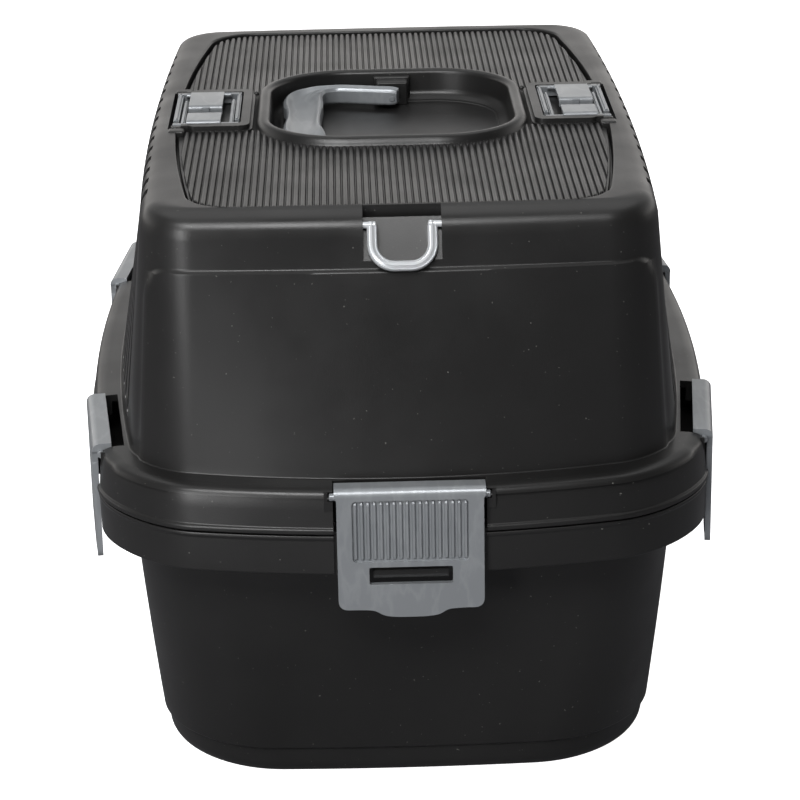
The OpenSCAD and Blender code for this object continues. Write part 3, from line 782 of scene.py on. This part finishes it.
# ---- swing clips
def clip_mesh():
    half = CLIP_HALF
    section = [(-7.4, 167.2), (-7.4, 169.9)]
    for k in range(9):
        turn = math.radians(90 - 90 * k / 8)
        section.append((-1.8 + 4 * math.cos(turn), 165.9 + 4 * math.sin(turn)))
    section += [(2.2, 100), (-0.6, 100), (-0.6, 162.6), (-3.2, 162.4), (-5.0, 163.6), (-5.8, 165.6),
                (-6.0, 167.2)]
    bar = prism("clip", section, -half - 1, half + 1, "x")
    front = [(half + 1, 180), (-half - 1, 180), (-half - 1, 166), (-half, 164.6)]
    front += rounded_polygon([(-half, 160), (-half, 109.6), (-half + 10, 109.6), (-half + 17, 109.2),
                              (-13, 106.4), (-7, 105.6), (7, 105.6), (13, 106.4), (half - 17, 109.2),
                              (half - 10, 109.6), (half, 109.6), (half, 160)],
                             [0.1, 6, 4, 4, 4, 3, 3, 4, 4, 4, 6, 0.1], 5)
    front += [(half, 164.6), (half + 1, 166)]
    mask = prism("front", front, -30, 30, "y")
    obj = combine(bar, [mask], "INTERSECT")
    window = [(-19.4, 122.3), (19.4, 122.3), (19.4, 131), (-19.4, 131)]
    slot = prism("slot", rounded_polygon(window, 1), -9, 9, "y")
    pad = [(-27, 133.5), (27, 133.5), (27, 164.2), (-27, 164.2)]
    recess = prism("recess", rounded_polygon(pad, 2.4), 0.9, 9, "y")
    obj = combine(obj, [slot, recess])
    obj = round_edges(obj, 0.55, 3, 42)
    ribs = []
    for i in range(18):
        u = -25.5 + i * 3
        shape = [(u - 1.05, 0.7), (u - 0.95, 1.4), (u - 0.5, 2.1),
                 (u + 0.5, 2.1), (u + 0.95, 1.4), (u + 1.05, 0.7)]
        top = [(p, q, 163.6) for p, q in shape]
        verts = [(lerp(u, p, 0.6), 0.7 + (q - 0.7) * 0.2, 134.3) for p, q in shape]
        verts += [(p, q, 135.4) for p, q in shape] + [(p, q, 162.4) for p, q in shape]
        verts += [(lerp(u, p, 0.6), 0.7 + (q - 0.7) * 0.2, z) for p, q, z in top]
        ribs.append(solid("rib", verts, grid_faces(4, len(shape), False, True)))
    pins = [rod((s * (half - 2), PIN_V, PIN_Z), (s * (half + 3.2), PIN_V, PIN_Z), 1.8, 20, 0.3)
            for s in (-1, 1)]
    return merge("clip", [obj] + ribs + pins)


def build_clips():
    source = clip_mesh()
    for body in CLIPS:
        obj = new_object(body, source.data.copy())
        place(obj, clip_matrix(body))
        piece(obj, body + "_moulding", GREY, body, [body])
    bpy.data.objects.remove(source)


# ---- D-rings
def build_rings():
    path = [(-13.8, 1.5), (-13.8, -1), (-13.8, -6)]
    path += [(-3.8 - 10 * math.cos(math.radians(t)), -9.2 - 10 * math.sin(math.radians(t)))
             for t in range(0, 91, 10)]
    path += [(-x, z) for x, z in reversed(path)]
    section = []
    for k in range(28):
        turn = 2 * math.pi * k / 28
        p = 2.4 * math.copysign(abs(math.cos(turn)) ** 0.7, math.cos(turn))
        q = 2.0 * math.copysign(abs(math.sin(turn)) ** 0.7, math.sin(turn))
        section.append((p, q - math.copysign(0.5, q) * (abs(abs(p) - 0.9) < 0.45) * (abs(q) > 1.2)))
    for body in RINGS:
        verts = []
        for i, (x, z) in enumerate(path):
            a, b = path[max(i - 1, 0)], path[min(i + 1, len(path) - 1)]
            tangent = Vector((b[0] - a[0], b[1] - a[1])).normalized()
            normal = (-tangent[1], tangent[0])
            trim = 0.75 if i in (0, len(path) - 1) else 1
            verts += [(x + normal[0] * p * trim, q * trim, z + normal[1] * p * trim) for p, q in section]
        obj = solid(body, verts, grid_faces(len(path), len(section), False, True))
        pins = [rod((s * 12, 0, 0), (s * 20.3, 0, 0), 1.6, 20, 0.3) for s in (-1, 1)]
        obj = place(merge(body, [obj] + pins), ring_matrix(body))
        piece(obj, body + "_loop", RING, body, [body])


# ---- roof latches, drawn for the right-hand side
def tab(y_front, y_back, z_front, z_back, z_low, lip):
    """Finger tab: a thin plate from back to front, bent down at its front edge."""
    thick = 1.5
    s = 1 if y_back > y_front else -1
    shape = [(y_back, z_back), (y_front + s * 2.2, z_front), (y_front + s * 0.5, z_front - 0.3),
             (y_front, z_front - 1.4), (y_front, z_low), (y_front + s * thick, z_low),
             (y_front + s * thick, z_front - thick - 0.4), (y_back, z_back - thick)]
    shape = rounded_polygon(shape, [0.2, 0.8, 0.6, 0.6, 0.3, 0.3, 0.6, 0.2], 4)
    obj = prism("tab", shape, 87.5, 105, "x")
    return round_edges(obj, lip, 3, 50)


def rail(x0, x1, y0, y1, top):
    """A slider's side bar with a raised rib along its top."""
    lower = block(x0, x1, y0, y1, 288, top - 0.9, 0.25)
    mid = (x0 + x1) / 2
    upper = block(mid - 0.62, mid + 0.62, y0 + 0.4, y1 - 0.4, top - 1.2, top, 0.35)
    return [lower, upper]


def build_latches():
    """The sliders of both sides; y is measured from the latches' centre."""
    for side, flip in (("left", True), ("right", False)):
        far = rail(78.2, 80.6, -21, 32, 293.2) + rail(109, 112, -21, 32, 293.2)
        far += [block(78.2, 112, 29, 32, 288, 293.2, 0.4), tab(-3.6, 29.5, 295, 294.2, 290.4, 0.35)]
        far += [rod((83.6, 27.4, 293), (88, 27.4, 293), 1.2, 18, 0.2)]
        far += [rod((104.6, 27.4, 292.8), (107.4, 27.4, 292.8), 1.0, 18, 0.2)]
        far += [rod((BOLT_X, 29, BOLT_Z), (BOLT_X, 39.5, BOLT_Z), 1.4, 18, 0.3)]
        far += [block(94, 98, -4.6, -3.2, 289, 294.4, 0.3)]
        near = rail(81.2, 83.4, -32, 21, 292.4) + rail(106, 108.2, -32, 19.4, 292.4)
        near += [block(78.4, 112, -32.2, -29, 288, 293, 0.4), tab(-31.6, -12, 294.4, 293.8, 290.8, 0.35)]
        near += [block(88.2, 104.2, -13, -11.3, 288.8, 292.8, 0.4)]
        near += [rod((BOLT_X, -39.5, BOLT_Z), (BOLT_X, -29, BOLT_Z), 1.4, 18, 0.3)]
        for which, parts in (("far", far), ("near", near)):
            body = f"latch_{side}_{which}"
            obj = place(merge(body, parts), Matrix.Translation((0, LATCH_Y, 0)))
            if flip:
                obj = mirrored(obj)
            piece(obj, body + "_slider", GREY, body, [body])


# ---- CAD nodes that stay get the new materials
def dress_frame():
    for name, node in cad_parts.items():
        material = STEEL if "spring" in name else GREY
        if name in ("base_shell", "top_shell", "roof_door"):
            material = BLACK
        node.data.materials.clear()
        node.data.materials.append(material)
        for polygon in node.data.polygons:
            polygon.use_smooth = True
        node.data.set_sharp_from_angle(angle=math.radians(35))


# ---- stage, lights and camera
def build_stage():
    corners = [(-6000, -5000, -0.2), (6000, -5000, -0.2), (6000, 9000, -0.2), (-6000, 9000, -0.2)]
    floor = solid("floor", corners, [(0, 1, 2, 3)])
    floor.data.transform(Matrix.Scale(MM, 4))
    mat = bpy.data.materials.new("stage_white")
    mat.use_nodes = True
    nodes, links = mat.node_tree.nodes, mat.node_tree.links
    shader = nodes["Principled BSDF"]
    shader.inputs["Base Color"].default_value = (0.9, 0.9, 0.9, 1)
    shader.inputs["Roughness"].default_value = 0.9
    shader.inputs["Emission Color"].default_value = (1, 1, 1, 1)
    shader.inputs["Emission Strength"].default_value = 1.2
    dim = nodes.new("ShaderNodeBsdfDiffuse")
    dim.inputs["Color"].default_value = (0.2, 0.2, 0.21, 1)
    mix = nodes.new("ShaderNodeMixShader")
    links.new(nodes.new("ShaderNodeLightPath").outputs["Is Camera Ray"], mix.inputs[0])
    links.new(dim.outputs[0], mix.inputs[1])
    links.new(shader.outputs[0], mix.inputs[2])
    links.new(mix.outputs[0], nodes["Material Output"].inputs["Surface"])
    floor.data.materials.append(mat)


def area_light(name, place_at, aim, size, power, colour=(1, 1, 1)):
    light = bpy.data.lights.new(name, "AREA")
    light.shape = "RECTANGLE"
    light.size, light.size_y = size
    light.energy = power
    light.color = colour
    obj = bpy.data.objects.new(name, light)
    bpy.context.scene.collection.objects.link(obj)
    obj.location = place_at
    obj.rotation_euler = (Vector(aim) - Vector(place_at)).to_track_quat("-Z", "Y").to_euler()


def build_lights():
    world = bpy.data.worlds.new("studio")
    bpy.context.scene.world = world
    world.use_nodes = True
    nodes, links = world.node_tree.nodes, world.node_tree.links
    back = nodes["Background"]
    coords = nodes.new("ShaderNodeTexCoord").outputs["Generated"]
    split = nodes.new("ShaderNodeSeparateXYZ")
    links.new(coords, split.inputs[0])
    along = ramp(nodes, links, split.outputs["Y"], [(0.0, (0.06,) * 3), (0.3, (1.0,) * 3)])
    height = ramp(nodes, links, split.outputs["Z"],
                  [(0.2, (1.0, 0.97, 0.94)), (0.3, (0.54,) * 3), (0.6, (0.2,) * 3)])
    mix = nodes.new("ShaderNodeMixRGB")
    mix.blend_type = "MULTIPLY"
    mix.inputs[0].default_value = 1.0
    links.new(along, mix.inputs[1])
    links.new(height, mix.inputs[2])
    links.new(mix.outputs[0], back.inputs["Color"])
    back.inputs["Strength"].default_value = 1.25
    area_light("top_soft", (0, 0.5, 2.2), (0, 0, 0.2), (2.4, 2.0), 14)
    area_light("front_top", (-0.5, -1.65, 1.85), (0, -0.1, 0.2), (1.4, 0.8), 44)
    area_light("left_front", (-1.15, -1.9, 0.4), (0, -0.1, 0.2), (0.4, 1.0), 20)


def build_camera():
    yaw, pitch, roll = -0.0190983, 0.3590801, -0.0179183   # radians
    forward = Vector((-math.sin(yaw) * math.cos(pitch), math.cos(yaw) * math.cos(pitch), -math.sin(pitch)))
    right = Vector((math.cos(yaw), math.sin(yaw), 0))
    up = right.cross(forward)
    right2 = right * math.cos(roll) + up * math.sin(roll)
    up2 = up * math.cos(roll) - right * math.sin(roll)
    camera = bpy.data.cameras.new("camera")
    camera.lens = 121.5
    camera.sensor_width = 36
    camera.clip_end = 50
    obj = bpy.data.objects.new("camera", camera)
    bpy.context.scene.collection.objects.link(obj)
    turn = Matrix((right2, up2, -forward)).transposed().to_4x4()
    obj.matrix_world = Matrix.Translation((-0.02413, -1.38659, 0.64255)) @ turn
    bpy.context.scene.camera = obj


bpy.context.scene.view_settings.view_transform = "Standard"
build_camera()
build_lights()
build_stage()
dress_frame()
build_base()
build_top()
build_door()
build_handle()
build_clips()
build_rings()
build_latches()
